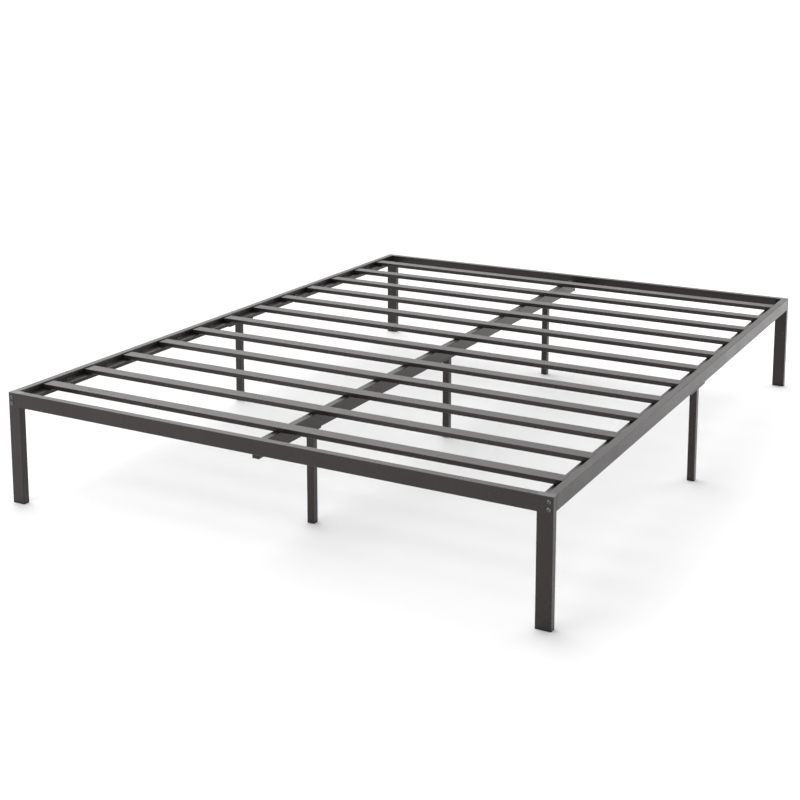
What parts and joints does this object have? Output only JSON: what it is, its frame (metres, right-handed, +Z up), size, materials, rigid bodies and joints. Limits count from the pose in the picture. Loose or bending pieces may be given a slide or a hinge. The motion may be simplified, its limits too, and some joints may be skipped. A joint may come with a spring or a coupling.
{
  "type": "metal bed frame",
  "caption": "Low platform bed frame of black rectangular steel tube with bolted corners, slim legs, a centre beam on support legs and steel slats.",
  "frame": {"origin": "on the floor, under the middle of the bed", "axes": "+Z up, +Y along the length of the bed towards the head end, +X to the right seen from the foot end"},
  "size_m": [1.524, 2.038, 0.3],
  "materials": {
    "powder_coat": "satin charcoal black powder coat with a fine texture",
    "cap_plastic": "moulded black polyethylene, matt",
    "bolt_steel": "black nickel plated steel button heads",
    "nut_steel": "zinc plated steel"
  },
  "bodies": {
    "root": {"foot_rail": "powder_coat", "head_rail": "powder_coat", "foot_leg_left": "powder_coat", "foot_leg_right": "powder_coat", "head_leg_left": "powder_coat", "head_leg_right": "powder_coat", "side_rail_left_foot": "powder_coat", "side_rail_right_foot": "powder_coat", "side_rail_left_head": "powder_coat", "side_rail_right_head": "powder_coat", "rail_end_plate_left_foot": "powder_coat", "rail_end_plate_right_foot": "powder_coat", "rail_end_plate_left_head": "powder_coat", "rail_end_plate_right_head": "powder_coat", "slat_ledge_left_foot": "powder_coat", "slat_ledge_right_foot": "powder_coat", "slat_ledge_left_head": "powder_coat", "slat_ledge_right_head": "powder_coat", "rail_joiner_left": "powder_coat", "rail_joiner_right": "powder_coat", "mid_leg_left": "powder_coat", "mid_leg_right": "powder_coat", "centre_beam_foot": "powder_coat", "centre_beam_head": "powder_coat", "beam_bracket_foot": "powder_coat", "beam_bracket_head": "powder_coat", "centre_leg_foot": "powder_coat", "centre_leg_head": "powder_coat", "beam_joiner": "powder_coat", "centre_leg_middle": "powder_coat", "slat_01": "powder_coat", "slat_02": "powder_coat", "slat_03": "powder_coat", "slat_04": "powder_coat", "slat_05": "powder_coat", "slat_06": "powder_coat", "slat_07": "powder_coat", "slat_08": "powder_coat", "slat_09": "powder_coat", "slat_10": "powder_coat", "slat_11": "powder_coat", "slat_12": "powder_coat", "foot_leg_cap_left": "cap_plastic", "foot_leg_cap_right": "cap_plastic", "head_leg_cap_left": "cap_plastic", "head_leg_cap_right": "cap_plastic", "foot_leg_plug_left": "cap_plastic", "foot_leg_plug_right": "cap_plastic", "head_leg_plug_left": "cap_plastic", "head_leg_plug_right": "cap_plastic", "mid_leg_cap_left": "cap_plastic", "mid_leg_cap_right": "cap_plastic", "centre_leg_cap_foot": "cap_plastic", "centre_leg_cap_head": "cap_plastic", "centre_leg_cap_middle": "cap_plastic", "slat_end_caps": "cap_plastic", "corner_bolts": "bolt_steel", "joint_bolts": "bolt_steel", "weld_nuts": "nut_steel"}
  },
  "joints": []
}
